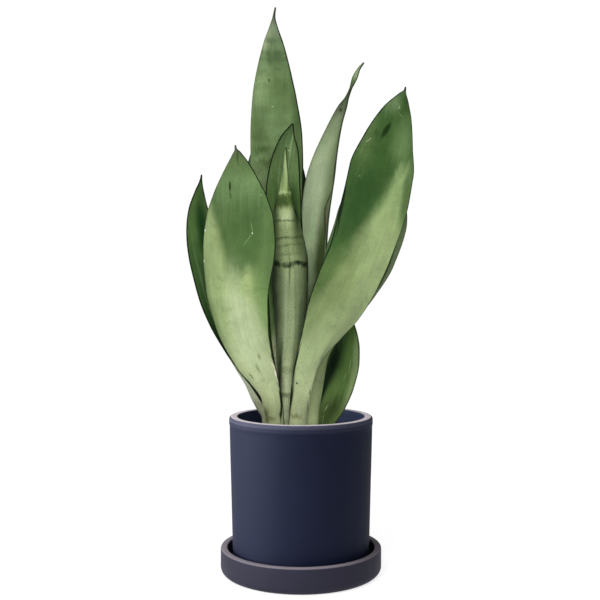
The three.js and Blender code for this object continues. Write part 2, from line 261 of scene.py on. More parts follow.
glaze, tree, surface, place = new_material("pot satin glaze")
skin = use_group(tree, fired_clay, {"Place": place})
colour = blend(tree, fade(tree, skin["Cloud"], 0.3, 0.7), paint(*GLAZE_DEEP), paint(*GLAZE_CLOUD))
colour = blend(tree, maths(tree, "MULTIPLY", skin["Specks"], 0.45), colour, paint(20, 22, 34))
height = add(tree, "SeparateXYZ", {0: place}).outputs[2]
# The collar and the thin band over the bead are painted lighter, and the very top palest: painted
# highlight on the rounded rim.
collar_highlight = fade(tree, height, (POT_HIGH - 6.8) * MM, (POT_HIGH - 5.8) * MM, 0, 0.14)
thin = fade(tree, height, (POT_HIGH - 3.6) * MM, (POT_HIGH - 2.8) * MM, 0, 0.36)
colour = blend(tree, maths(tree, "ADD", collar_highlight, thin), colour, paint(*GLAZE_BEAD_HIGHLIGHT))
radius = vectors(tree, "LENGTH", vectors(tree, "MULTIPLY", place, (1, 1, 0)))
# Inside the rim the glaze is painted lighter than outside: painted light on the inner wall and floor.
inside = fade(tree, radius, (POT_INSIDE + 0.8) * MM, (POT_INSIDE + 0.2) * MM)
colour = blend(tree, inside, colour, paint(*GLAZE_INSIDE_PAINTED_LIGHT))
top_highlight = fade(tree, height, (POT_HIGH - 0.3) * MM, (POT_HIGH - 0.05) * MM)
colour = blend(tree, top_highlight, colour, paint(*GLAZE_TOP_HIGHLIGHT))
feed(tree, surface["Base Color"], colour)
feed(tree, surface["Roughness"], fade(tree, skin["Cloud"], 0.3, 0.7, 0.66, 0.74))
surface["Specular IOR Level"].default_value = 0.12
relief = maths(tree, "SUBTRACT", skin["Grain"], skin["Specks"])
emboss(tree, surface, relief, 0.3, 0.1)

pot = finish(turn_on_wheel([
    (DRAIN_RADIUS, POT_LOW),
    (30, POT_LOW),
    *arc(POT_FOOT - POT_CORNER, POT_LOW + POT_CORNER, POT_CORNER, -90, 0, 8),
    (POT_FOOT + 0.6, 34),
    (POT_FOOT + 1.1, 54),
    (POT_FOOT + 1.6, 75),
    (POT_RIM - 0.6 - RIM_STEP / 2, 100),
    (POT_RIM - RIM_STEP, 118),
    (POT_RIM - RIM_STEP, POT_HIGH - 7.5),
    (POT_RIM, POT_HIGH - 6.2),
    *arc(POT_RIM - RIM_ROUND, POT_HIGH - RIM_ROUND, RIM_ROUND, 0, 90, 12),
    *arc(POT_INSIDE + RIM_INNER, POT_HIGH - RIM_INNER, RIM_INNER, 90, 180, 8),
    (POT_INSIDE - 0.3, 110),
    (POT_INSIDE_LOW, POT_FLOOR + POT_HOLLOW),
    *arc(POT_INSIDE_LOW - POT_HOLLOW, POT_FLOOR + POT_HOLLOW, POT_HOLLOW, 0, -90, 6)[1:],
    (DRAIN_RADIUS, POT_FLOOR),
    (DRAIN_RADIUS, POT_LOW),
]), "glazed_pot", glaze)
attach(pot, "root")
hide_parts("pot")

# The rootstock is the thick fleshy stem underground that all the leaves and roots grow from. It
# keeps the solid's own shape, with a skin of pale orange cork, darker in its creases and joints.
cork, tree, surface, place = new_material("rootstock cork skin")
rings = cloud(tree, place, (1, 1, 5), 130, 4)
patches = cloud(tree, place, EVENLY, 60, 4)
colour = blend(tree, fade(tree, patches, 0.3, 0.7), paint(196, 142, 84), paint(224, 184, 130))
colour = blend(tree, fade(tree, rings, 0.52, 0.62, 0, 0.5), colour, paint(128, 84, 48))
feed(tree, surface["Base Color"], colour)
feed(tree, surface["Roughness"], fade(tree, patches, 0.3, 0.7, 0.65, 0.85))
emboss(tree, surface, rings, 0.5, 0.4)
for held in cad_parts["rootstock"].material_slots:
    held.material = cork

# The soil is dark potting mix that fills the pot to a finger's width below the rim: a lumpy bed of
# peat and fine bark, heaped a little at the middle, with loose crumbs of the same lying on it.
SOIL_LOW, SOIL_MIDDLE = (corner.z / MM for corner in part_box("soil"))
SOIL_EDGE = SOIL_MIDDLE - 3.5
SOIL_REACH = POT_INSIDE - 0.7
SOIL_RINGS = 52
SWELL_HIGH = 1.7
SWELL_LONG = 9
GRIT_HIGH = 0.8
GRIT_LONG = 3.2
CRUMBS = 1500
draw = random.Random(11)

peat, tree, surface, place = new_material("peat and bark fines")
lumps = cloud(tree, place, EVENLY, 260, 5, 0.65)
fines = cloud(tree, place, EVENLY, 1300, 3, 0.6)
colour = blend(tree, fade(tree, lumps, 0.35, 0.68), paint(34, 24, 18), paint(84, 62, 44))
colour = blend(tree, fade(tree, fines, 0.58, 0.7, 0, 0.55), colour, paint(122, 92, 62))
feed(tree, surface["Base Color"], colour)
feed(tree, surface["Roughness"], fade(tree, fines, 0.3, 0.7, 0.8, 0.98))
surface["Specular IOR Level"].default_value = 0.25
emboss(tree, surface, fines, 0.8, 0.5)


def soil_top(x, y):
    """The height of the soil at a place in millimetres, heaped at the middle and lumpy."""
    away = math.hypot(x, y) / SOIL_REACH
    heap = SOIL_EDGE + (SOIL_MIDDLE - SOIL_EDGE) * (1 - min(away, 1) ** 2) - 1.2
    swell = noise.noise(Vector((x, y, 4.0)) / SWELL_LONG)
    grit = noise.noise(Vector((x, y, 9.0)) / GRIT_LONG)
    return heap + SWELL_HIGH * swell + GRIT_HIGH * grit


profile = [(0, SOIL_LOW), (POT_INSIDE_LOW - 3.5, SOIL_LOW), (POT_INSIDE_LOW - 0.4, SOIL_LOW + 3)]
profile += [(POT_INSIDE_LOW + 1.2, 70), (SOIL_REACH, SOIL_EDGE - 3)]
profile += [(SOIL_REACH * (1 - i / SOIL_RINGS), SOIL_EDGE) for i in range(SOIL_RINGS + 1)]
bm = turn_on_wheel(profile)
for vert in bm.verts:
    if vert.co.z / MM > SOIL_EDGE - 1:
        vert.co.z = soil_top(vert.co.x / MM, vert.co.y / MM) * MM


def scatter(bm, count, small, large, flat, facets, seat):
    """Drops rough flattened lumps on the soil, with their centres a share of their size above it."""
    cast = bpy.data.meshes.new("cast")
    for _ in range(count):
        size = small + (large - small) * draw.random() ** 2.2
        r = (SOIL_REACH - size) * math.sqrt(draw.random())
        spin = draw.uniform(0, math.tau)
        x, y = r * math.cos(spin), r * math.sin(spin)
        lump = bmesh.new()
        bmesh.ops.create_icosphere(lump, subdivisions=facets, radius=size / 2 * MM)
        for vert in lump.verts:
            vert.co *= 1 + 0.5 * noise.noise(vert.co / (size * 0.6 * MM) + Vector((x, y, size)))
        squash = Matrix.Diagonal((1, draw.uniform(0.6, 1), flat, 1))
        lean = Matrix.Rotation(draw.uniform(-0.5, 0.5), 4, "X")
        tilt = Matrix.Rotation(draw.uniform(-0.5, 0.5), 4, "Y")
        turn = Matrix.Rotation(draw.uniform(0, math.tau), 4, "Z")
        rest = Matrix.Translation(Vector((x, y, soil_top(x, y) + size * seat)) * MM)
        lump.transform(rest @ lean @ tilt @ turn @ squash)
        lump.to_mesh(cast)
        lump.free()
        bm.from_mesh(cast)
    bpy.data.meshes.remove(cast)


scatter(bm, CRUMBS, 0.8, 3.2, 0.8, 1, 0.15)
soil = finish(bm, "potting_soil", peat)
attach(soil, "root")
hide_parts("soil")

# Perlite is volcanic glass puffed by heat into light white beads. They are mixed through the soil
# to keep it open, and the ones that reached the top lie half sunk in it.
PERLITE_BEADS = 70
puffed, tree, surface, place = new_material("puffed perlite")
cells = cloud(tree, place, EVENLY, 1400, 4, 0.6)
colour = blend(tree, fade(tree, cells, 0.35, 0.65), paint(196, 190, 178), paint(238, 235, 228))
feed(tree, surface["Base Color"], colour)
feed(tree, surface["Roughness"], fade(tree, cells, 0.3, 0.7, 0.75, 0.9))
emboss(tree, surface, cells, 0.6, 0.3)

bm = bmesh.new()
scatter(bm, PERLITE_BEADS, 1.2, 3.6, 0.85, 2, 0.1)
perlite = finish(bm, "perlite_beads", puffed)
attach(perlite, "root")

# Bark chips are flat splinters of composted pine bark, red brown and rough, that lie loose on the
# mix. They are longer than they are wide and have broken, uneven ends.
BARK_CHIPS = 34
bark, tree, surface, place = new_material("composted bark")
grain = cloud(tree, place, (1, 3, 3), 420, 4, 0.6)
colour = blend(tree, fade(tree, grain, 0.35, 0.7), paint(62, 38, 24), paint(124, 84, 54))
feed(tree, surface["Base Color"], colour)
feed(tree, surface["Roughness"], fade(tree, grain, 0.3, 0.7, 0.75, 0.92))
emboss(tree, surface, grain, 0.7, 0.4)

bm = bmesh.new()
scatter(bm, BARK_CHIPS, 4.5, 10, 0.28, 2, 0.08)
chips = finish(bm, "bark_chips", bark)
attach(chips, "root")

# The broad leaf at the front left turns its outer face to the front. A leaf is one thick fleshy
# blade, hollow like a gutter at its foot and almost flat above, with a thin hard margin all round
# and a needle at the tip. Its rows give (height, x, y, width, facing, cup), going up the leaf.
LEAF_ACROSS = 36
LEAF_ALONG = 190
LEAF_EDGE = 0.9
LEAF_WAVE = 0.9
WAVE_LENGTH = 74
TIP_CROWDING = 1.2
FOOT_CLEAR = 0.3
FLUTE = 0.35
FLUTE_WIDE = 7
FLUTE_LONG = 60
PLEATS_ACROSS = 3.5
MARGIN_DARK = (12, 28, 12)
MARGIN_WIDE = 0.85
MARGIN_CORE = 0.3
MARGIN_RAGGED = 0.2


def read_row(rows, column, height):
    """One measure of a leaf at a height, on a smooth curve through its rows that never overshoots."""
    last = len(rows) - 1
    at = min(max(height, rows[0][0]), rows[last][0])
    i = 0
    while i < last - 1 and at > rows[i + 1][0]:
        i += 1

    def slope(k):
        return (rows[k + 1][column] - rows[k][column]) / (rows[k + 1][0] - rows[k][0])

    def lean(k):
        if k in (0, last):
            return slope(min(k, last - 1))
        before, after = slope(k - 1), slope(k)
        return 0 if before * after <= 0 else 2 * before * after / (before + after)

    span = rows[i + 1][0] - rows[i][0]
    t = (at - rows[i][0]) / span
    start, end = rows[i][column], rows[i + 1][column]
    joined = start * (1 + 2 * t) * (1 - t) ** 2 + end * t * t * (3 - 2 * t)
    return joined + span * (lean(i) * t * (1 - t) ** 2 + lean(i + 1) * t * t * (t - 1))


def leaf_ring(rows, thick, height, pleats):
    """A function that places a point of the leaf at this height by its place across and its face."""
    low, tip = rows[0][0], rows[-1][0]

    def keel(z):
        return Vector((read_row(rows, 1, z), read_row(rows, 2, z), z))

    along = (height - low) / (tip - low)
    centre = keel(height)
    rise = (keel(min(height + 1, tip)) - keel(max(height - 1, low))).normalized()
    facing = math.radians(read_row(rows, 4, height))
    inward = Vector((math.cos(facing), math.sin(facing), 0))
    inward = (inward - rise * inward.dot(rise)).normalized()
    side = rise.cross(inward)
    cup = math.radians(read_row(rows, 5, height))
    width = read_row(rows, 3, height)
    bend = width / 2 / math.sin(cup)
    deep = min(LEAF_EDGE + (thick - LEAF_EDGE) * (1 - along) ** 0.8, LEAF_EDGE + width / 4)
    wave = LEAF_WAVE * min(1, along * 4) * min(1, width / 20)
    fluting = FLUTE * min(1, along * 5) * min(1, width / 14)

    def place(across, skin):
        turn = cup * across
        out = inward * math.cos(turn) - side * math.sin(turn)
        body = LEAF_EDGE + (deep - LEAF_EDGE) * (1 - across * across)
        ripple = wave * abs(across) ** 3 * math.sin(math.tau * height / WAVE_LENGTH + across * 2)
        fold = Vector((bend * turn / FLUTE_WIDE, height / FLUTE_LONG, low + thick + tip))
        ripple += fluting * noise.noise(fold)
        pleat = math.cos(across * math.pi * PLEATS_ACROSS) * (1 - across * across)
        ripple += pleats * min(1, width / 14) * pleat
        point = centre + side * (bend * math.sin(turn)) + inward * (bend * (1 - math.cos(turn)) + ripple)
        if abs(across) == 1:
            edge = side * math.cos(turn) + inward * math.sin(turn)
            point += edge * (across * LEAF_EDGE / 2 * (1 - skin * skin))
        return point + out * (skin * body / 2), bend * turn, cup * bend * (1 - abs(across))

    return place


def grow_leaf(name, rows, thick, skin, pleats=0.0):
    """A leaf: a thin slab cut fine, with a rounded margin, bent to the form that its rows give."""
    bm = bmesh.new()
    bmesh.ops.create_grid(bm, x_segments=LEAF_ACROSS, y_segments=LEAF_ALONG, size=1)
    bmesh.ops.translate(bm, verts=bm.verts[:], vec=(0, 0, -1))
    raised = bmesh.ops.extrude_face_region(bm, geom=bm.faces[:])["geom"]
    top = [part for part in raised if isinstance(part, bmesh.types.BMVert)]
    bmesh.ops.translate(bm, verts=top, vec=(0, 0, 2))
    wall = [edge for edge in bm.edges if abs(edge.verts[0].co.z - edge.verts[1].co.z) > 1]
    bmesh.ops.subdivide_edges(bm, edges=wall, cuts=2, use_grid_fill=True)
    blade = bm.verts.layers.float_vector.new("blade")
    outer = bm.verts.layers.float.new("outer")
    foot, tip = rows[0][0] + FOOT_CLEAR, rows[-1][0]
    rings = {}
    for vert in bm.verts:
        across, along, face = (round(part, 5) for part in vert.co)
        if along not in rings:
            height = foot + (tip - foot) * (1 - ((1 - along) / 2) ** TIP_CROWDING)
            rings[along] = height, leaf_ring(rows, thick, height, pleats)
        height, place = rings[along]
        point, arc_place, margin = place(across, face)
        if along == -1:
            point.z = foot
        vert.co = point * MM
        vert[blade] = Vector((arc_place, height, margin)) * MM
        vert[outer] = (1 - face) / 2
    bmesh.ops.recalc_face_normals(bm, faces=bm.faces[:])
    if bm.calc_volume(signed=True) < 0:
        bmesh.ops.reverse_faces(bm, faces=bm.faces[:])
    return finish(bm, name, skin)


# The skin's effects read the blade attribute: how far across from the keel along the surface, how
# high, and how far in from the margin, all in metres. The outer attribute is 1 on the outer face.
leaf_fibres, ends, results = new_group(
    "leaf fibres", {"Blade": "Vector", "Seed": "Float"},
    {"Place": "Vector", "Fibre": "Float", "Streak": "Float", "Mottle": "Float", "Stipple": "Float"})
parts = add(leaf_fibres, "SeparateXYZ", {0: ends["Blade"]}).outputs
flat = add(leaf_fibres, "CombineXYZ", {0: parts[0], 1: parts[1], 2: ends["Seed"]}).outputs[0]
hairs = cloud(leaf_fibres, flat, (1, 0.03, 1), 2600, 2, 0.5)
streaks = cloud(leaf_fibres, flat, (1, 0.06, 1), 420, 3, 0.6)
patches = cloud(leaf_fibres, flat, (1, 0.7, 1), 60, 4, 0.6)
wander = cloud(leaf_fibres, flat, (1, 0.5, 1), 90, 2, 0.5)
jag = maths(leaf_fibres, "MULTIPLY", maths(leaf_fibres, "SUBTRACT", streaks, 0.5), 0.014)
drift = maths(leaf_fibres, "MULTIPLY", maths(leaf_fibres, "SUBTRACT", wander, 0.5), 0.009)
shifted = maths(leaf_fibres, "ADD", parts[1], maths(leaf_fibres, "ADD", jag, drift))
aside = maths(leaf_fibres, "ADD", parts[0], maths(leaf_fibres, "MULTIPLY", drift, 0.4))
feed(leaf_fibres, results["Place"], add(leaf_fibres, "CombineXYZ", {0: aside, 1: shifted}).outputs[0])
feed(leaf_fibres, results["Fibre"], hairs)
feed(leaf_fibres, results["Streak"], streaks)
feed(leaf_fibres, results["Mottle"], patches)
feed(leaf_fibres, results["Stipple"], cloud(leaf_fibres, flat, (1, 0.5, 1), 1500, 2, 0.6))

soft_mark, ends, results = new_group(
    "soft mark",
    {"Place": "Vector", "Centre": "Vector", "Half Size": "Vector", "Turn": "Float", "Softness": "Float"},
    {"Mask": "Float"})
offset = vectors(soft_mark, "SUBTRACT", ends["Place"], ends["Centre"])
turned = add(soft_mark, "VectorRotate", {"Vector": offset, "Angle": ends["Turn"]}, rotation_type="Z_AXIS")
scaled = vectors(soft_mark, "DIVIDE", turned.outputs[0], ends["Half Size"])
reach = vectors(soft_mark, "LENGTH", scaled)
start = maths(soft_mark, "ADD", 1.0, ends["Softness"])
end = maths(soft_mark, "SUBTRACT", 1.0, ends["Softness"])
feed(soft_mark, results["Mask"], fade(soft_mark, reach, start, end))

cross_band, ends, results = new_group(
    "cross band",
    {"Blade": "Vector", "Height": "Float", "Half Height": "Float", "Drip": "Float", "Seed": "Float"},
    {"Mask": "Float"})
parts = add(cross_band, "SeparateXYZ", {0: ends["Blade"]}).outputs
line = add(cross_band, "CombineXYZ", {0: parts[0], 1: ends["Seed"]}).outputs[0]
flat = add(cross_band, "CombineXYZ", {0: parts[0], 1: parts[1], 2: ends["Seed"]}).outputs[0]
wobble = cloud(cross_band, line, EVENLY, 90, 3)
sway = maths(cross_band, "MULTIPLY", maths(cross_band, "SUBTRACT", wobble, 0.5), 0.005)
above = maths(cross_band, "SUBTRACT", maths(cross_band, "ADD", parts[1], sway), ends["Height"])
thick = fade(cross_band, cloud(cross_band, line, EVENLY, 260, 2), 0.3, 0.7, 0.7, 1.6)
half = maths(cross_band, "MULTIPLY", ends["Half Height"], thick)
hang = fade(cross_band, cloud(cross_band, line, EVENLY, 900, 2), 0.5, 0.78)
low = maths(cross_band, "ADD", half, maths(cross_band, "MULTIPLY", hang, ends["Drip"]))
under = maths(cross_band, "DIVIDE", maths(cross_band, "MULTIPLY", above, -1.0), low)
over = maths(cross_band, "DIVIDE", above, half)
body = fade(cross_band, maths(cross_band, "MAXIMUM", under, over), 1.3, 0.5)
dashes = fade(cross_band, cloud(cross_band, flat, (1, 0.4, 1), 1100, 2, 0.5), 0.3, 0.5, 0.35, 1)
patchy = fade(cross_band, cloud(cross_band, line, EVENLY, 170, 2), 0.35, 0.6, 0.5, 1)
body = maths(cross_band, "MULTIPLY", body, patchy)
feed(cross_band, results["Mask"], maths(cross_band, "MULTIPLY", body, dashes))

faint_bands, ends, results = new_group(
    "faint bands", {"Place": "Vector", "Seed": "Float"}, {"Mask": "Float"})
parts = add(faint_bands, "SeparateXYZ", {0: ends["Place"]}).outputs
flat = add(faint_bands, "CombineXYZ", {0: parts[0], 1: parts[1], 2: ends["Seed"]}).outputs[0]
waves = cloud(faint_bands, flat, (0.22, 1, 1), 190, 3, 0.6)
gaps = cloud(faint_bands, flat, (1, 0.4, 1), 70, 2, 0.5)
sharp = fade(faint_bands, waves, 0.52, 0.66)
broken = fade(faint_bands, gaps, 0.4, 0.62)
feed(faint_bands, results["Mask"], maths(faint_bands, "MULTIPLY", sharp, broken))


def mark(across, height, wide, tall, colour, soft=0.7, turn=0, strength=1.0, crisp=False):
    """A patch of colour on a leaf: its centre and half size in millimetres, its turn in degrees."""
    return across, height, wide, tall, colour, soft, turn, strength, crisp


def fleck(across, height, wide, tall, colour, turn=0, strength=1.0, soft=0.5):
    """A small crisp mark, such as a scratch, a scar or a speck."""
    return mark(across, height, wide, tall, colour, soft, turn, strength, crisp=True)


def ramp(tree, share, low, high, tones):
    """A colour that changes up the leaf, from tones given as (height in millimetres, colour)."""
    made = add(tree, "ValToRGB", {0: share})
    stops = made.color_ramp.elements
    while len(stops) < len(tones):
        stops.new(0.5)
    for stop, tone in zip(stops, tones):
        stop.position = (tone[0] - low) / (high - low)
    for stop, tone in zip(stops, tones):
        stop.color = paint(*tone[1])
    return made.outputs[0]


def lay_marks(tree, colour, marks, place, blade):
    """Lays each mark in turn over a colour, the crisp ones without the fibres' raggedness."""
    for across, height, wide, tall, tone, soft, turn, strength, crisp in marks:
        mask = use_group(tree, soft_mark, {
            "Place": blade if crisp else place,
            "Centre": (across * MM, height * MM, 0),
            "Half Size": (wide * MM, tall * MM, 1),
            "Turn": math.radians(turn),
            "Softness": soft,
        })["Mask"]
        colour = blend(tree, maths(tree, "MULTIPLY", mask, strength), colour, paint(*tone))
    return colour


def leaf_skin(
        name, rows, seed, outer, inner, outer_marks=(), inner_marks=(),
        bands=(), banding=0.25, specks=0.15, rims=(1.0, 1.0)):
    """The skin of one leaf: tones up each face, its own marks, cross bands, fibres and dark margin.

    A band is (height, half height, drip, colour, strength), with its sizes in millimetres. Banding
    and specks are the strength of the faint bars and dots, and rims that of the two dark margins.
    """
    material, tree, surface, _ = new_material(name)
    low, tip = rows[0][0], rows[-1][0]
    blade = add(tree, "Attribute", attribute_name="blade").outputs["Vector"]
    is_outer = add(tree, "Attribute", attribute_name="outer").outputs["Fac"]
    fibres = use_group(tree, leaf_fibres, {"Blade": blade, "Seed": float(seed)})
    parts = add(tree, "SeparateXYZ", {0: blade}).outputs
    flat = add(tree, "CombineXYZ", {0: parts[0], 1: parts[1]}).outputs[0]
    climb = add(tree, "SeparateXYZ", {0: fibres["Place"]}).outputs[1]
    share = add(tree, "MapRange", {"Value": climb, "From Min": low * MM, "From Max": tip * MM}).outputs[0]
    outside = lay_marks(tree, ramp(tree, share, low, tip, outer), outer_marks, fibres["Place"], flat)
    inside = lay_marks(tree, ramp(tree, share, low, tip, inner), inner_marks, fibres["Place"], flat)
    colour = blend(tree, is_outer, inside, outside)
    mottling = use_group(tree, faint_bands, {"Place": fibres["Place"], "Seed": seed * 3.7})["Mask"]
    mottling = maths(tree, "MULTIPLY", mottling, banding)
    colour = blend(tree, mottling, colour, paint(150, 165, 140), "MULTIPLY")
    for height, half, drip, tone, strength in bands:
        mask = use_group(tree, cross_band, {
            "Blade": blade,
            "Height": height * MM,
            "Half Height": half * MM,
            "Drip": drip * MM,
            "Seed": seed + height,
        })["Mask"]
        colour = blend(tree, maths(tree, "MULTIPLY", mask, strength), colour, paint(*tone))
    shade = fade(tree, fibres["Mottle"], 0.3, 0.7, 0.87, 1.11)
    shade = maths(tree, "MULTIPLY", shade, fade(tree, fibres["Streak"], 0.3, 0.7, 0.94, 1.05))
    shade = maths(tree, "MULTIPLY", shade, fade(tree, fibres["Fibre"], 0.3, 0.7, 0.96, 1.04))
    shade = maths(tree, "MULTIPLY", shade, fade(tree, fibres["Stipple"], 0.3, 0.7, 1.05, 0.95))
    tint = add(tree, "CombineColor", {0: shade, 1: shade, 2: shade}).outputs[0]
    colour = blend(tree, 1.0, colour, tint, "MULTIPLY")
    dots = fade(tree, fibres["Stipple"], 0.56, 0.66, 0, specks)
    colour = blend(tree, dots, colour, paint(40, 62, 30))
    jagged = fade(tree, fibres["Streak"], 0.3, 0.7, -MARGIN_RAGGED * MM, MARGIN_RAGGED * MM)
    ragged = maths(tree, "ADD", parts[2], jagged)
    sides = fade(tree, parts[0], -1 * MM, 1 * MM, *rims)
    rim = maths(tree, "MULTIPLY", fade(tree, ragged, MARGIN_WIDE * MM, MARGIN_CORE * MM, 0, 0.95), sides)
    colour = blend(tree, rim, colour, paint(*MARGIN_DARK))
    feed(tree, surface["Base Color"], colour)
    gloss = fade(tree, fibres["Mottle"], 0.3, 0.7, 0.46, 0.58)
    feed(tree, surface["Roughness"], maths(tree, "ADD", gloss, maths(tree, "MULTIPLY", rim, 0.35)))
    surface["Specular IOR Level"].default_value = 0.14
    relief = maths(tree, "ADD", maths(tree, "MULTIPLY", fibres["Streak"], 1.6), fibres["Fibre"])
    relief = maths(tree, "ADD", relief, maths(tree, "MULTIPLY", fibres["Stipple"], 0.6))
    emboss(tree, surface, relief, 0.35, 0.25)
    return material


front_left_rows = [
    (92, -21, -15, 15.4, 74, 55), (127, -22.5, -17, 15.4, 74, 52), (146, -25, -20, 17.4, 74, 46),
    (163, -31.8, -24, 25, 74, 38), (178, -39.4, -28, 32, 74, 32), (208, -49, -36, 45.4, 74, 28),
    (234, -52.2, -42, 53, 74, 26), (270, -50.2, -50, 59, 74, 24), (289, -49, -54, 55.4, 74, 24),
    (305, -48.5, -57, 44.5, 74, 24), (324, -48.4, -60, 24, 74, 26), (338, -49.1, -62, 6, 74, 30),
    (341.5, -49.8, -62, 1, 74, 30), (344, -50.1, -62, 0.5, 74, 30),
]
front_left_skin = leaf_skin(
    "front left leaf skin", front_left_rows, 1,
    outer=[
        (92, (168, 178, 128)), (140, (172, 184, 134)), (172, (165, 178, 134)), (212, (166, 181, 135)),
        (234, (134, 156, 99)), (254, (100, 126, 74)), (274, (78, 102, 56)), (298, (88, 114, 69)),
        (318, (102, 129, 82)), (332, (88, 111, 66)), (341, (90, 100, 74)), (344, (140, 132, 130)),
    ],
    inner=[(92, (176, 186, 146)), (170, (120, 145, 92)), (250, (78, 106, 58)), (344, (86, 112, 66))],
    outer_marks=[
        mark(44, 267, 30, 80, (142, 162, 110), 0.16, 22),
        mark(-24, 222, 8, 50, (114, 140, 84), 0.8),
        mark(19, 195, 5, 36, (136, 152, 106), 0.8, 11, 0.6),
        mark(-3, 198, 9, 44, (172, 186, 144), 0.9, 3),
        mark(24.5, 216, 4.5, 24, (100, 124, 72), 0.9, 8, 0.9),
        mark(-9.5, 242, 4.5, 10, (150, 170, 114), 0.9),
        mark(-8, 276, 15, 23, (72, 99, 53), 0.55, 4),
        mark(-27, 275, 6, 40, (84, 110, 62), 0.8),
        fleck(6.2, 313, 0.9, 3.6, (36, 58, 22)),
        fleck(5.8, 306, 0.6, 2.4, (56, 80, 38), 10, 0.9, soft=0.6),
        mark(-0.6, 335, 0.8, 5, (62, 82, 42), 0.8),
        fleck(-12, 283, 0.25, 4, (132, 158, 106), 13, 0.7, soft=0.6),
        fleck(-9.4, 274, 0.25, 6, (126, 152, 100), -33, 0.7, soft=0.6),
        fleck(-12.6, 279, 0.5, 0.5, (206, 218, 192)),
        fleck(-18.2, 307, 0.45, 0.45, (156, 176, 132)),
        mark(-6.8, 179, 1.0, 2.4, (134, 146, 100), 0.8),
        mark(-1.9, 170, 0.9, 4, (136, 148, 102), 0.8),
        mark(5.9, 166, 0.9, 1.6, (112, 124, 84), 0.8),
        # Painted light: a pale patch lifts the foot where the leaves beside it shade it.
        mark(-6, 130, 6, 10, (176, 188, 142), 0.9),
        mark(4.8, 134, 2.2, 4.2, (84, 94, 48), 0.9, 8, 0.8),
        mark(3, 129, 5, 1.6, (104, 110, 62), 0.9, 0, 0.8),
        mark(-6.5, 131, 0.9, 2, (100, 108, 62), 0.9),
        fleck(7.9, 140, 1.1, 16, (214, 206, 170), 0, 0.9, soft=0.4),
        mark(-8.3, 141, 1.0, 14, (24, 36, 12), 0.4, -9),
        fleck(-13.0, 167, 0.45, 2.6, (222, 216, 190), 8, soft=0.4),
        fleck(-11.9, 161.5, 0.9, 2.6, (232, 228, 206), -14, soft=0.4),
        fleck(-10.8, 156, 0.5, 3.4, (220, 212, 184), 6, soft=0.4),
        fleck(29.6, 276, 0.9, 0.9, (226, 228, 210)),
        fleck(29, 252, 0.8, 1.2, (214, 218, 196)),
    ],
    rims=(1.0, 0.45),
)
front_left = grow_leaf("front_left_leaf", front_left_rows, 5.5, front_left_skin)
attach(front_left, "root")
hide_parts("leaf_front_left")

# The leaf at the front right leans far out over the rim. Its upper half is dark green but for a
# pale wedge, a painted reflection of the light, which widens down from its outer margin to the pale foot.
front_right_rows = [
    (92, -3, -17, 15, 104, 55), (127, -1.5, -18.5, 15, 104, 52), (155, 1.5, -22, 16.6, 104, 46),
    (171, 5, -25, 19.9, 104, 40), (186, 10.5, -28, 24.5, 104, 34), (201, 18.4, -31, 33.7, 104, 30),
    (217, 26.8, -35, 42.8, 104, 26), (243, 39.4, -39, 49.1, 104, 24), (265, 48.7, -42, 50.7, 104, 22),
    (301, 59.2, -46, 53.4, 104, 22), (326, 64.2, -48, 53, 104, 22), (349, 69.2, -49, 41, 104, 22),
    (371, 74.9, -49, 24, 104, 24), (381, 78, -49, 12, 104, 28), (385.2, 79.3, -49, 5.8, 104, 28),
    (388.5, 80.6, -49, 1, 104, 28), (391, 80.9, -49, 0.5, 104, 28),
]
